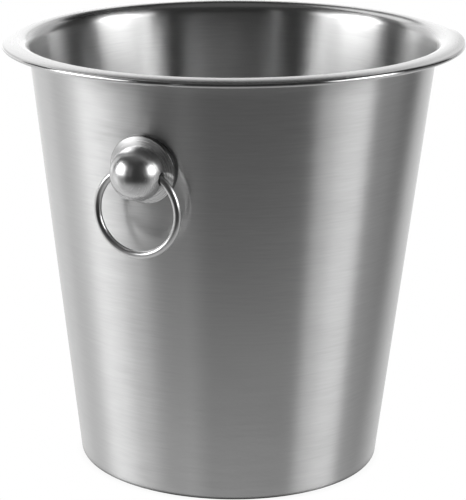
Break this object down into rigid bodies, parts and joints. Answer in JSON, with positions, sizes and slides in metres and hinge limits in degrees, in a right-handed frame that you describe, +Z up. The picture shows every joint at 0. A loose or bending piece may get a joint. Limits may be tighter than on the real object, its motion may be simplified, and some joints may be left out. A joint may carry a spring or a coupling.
{
  "type": "champagne bucket",
  "caption": "Tapered round steel champagne bucket with a flared, curled brim and a hinged drop ring on a ball knob at each side.",
  "frame": {"origin": "centre of the foot, on the table", "axes": "+Z up along the bucket's axis; +X out through the right-hand knob; +Y across, so that the two knobs' swing axes run along Y"},
  "size_m": [0.223, 0.22, 0.209],
  "materials": {
    "shell_steel": "fine brushing that runs round the bucket",
    "handle_steel": "satin polish",
    "ring_wire": "bright polish",
    "fixings": "plain stainless steel",
    "seal_rubber": "matt black"
  },
  "bodies": {
    "bucket": {"bucket_shell": "shell_steel", "rosette_left": "handle_steel", "rosette_right": "handle_steel", "knob_ball_left": "handle_steel", "knob_ball_right": "handle_steel", "knob_screw_left": "fixings", "knob_screw_right": "fixings", "flat_washer_left": "fixings", "flat_washer_right": "fixings", "sealing_washer_left": "seal_rubber", "sealing_washer_right": "seal_rubber"},
    "ring_left": {"ring_handle_left": "ring_wire"},
    "ring_right": {"ring_handle_right": "ring_wire"}
  },
  "joints": [
    {"name": "ring_left_swing", "type": "hinge", "parent": "bucket", "child": "ring_left", "pos_m": [-0.09923, 0, 0.16209], "axis": [0, 1, 0], "range_deg": [-14.5, 181]},
    {"name": "ring_right_swing", "type": "hinge", "parent": "bucket", "child": "ring_right", "pos_m": [0.09923, 0, 0.16209], "axis": [0, -1, 0], "range_deg": [-14.5, 181]}
  ]
}
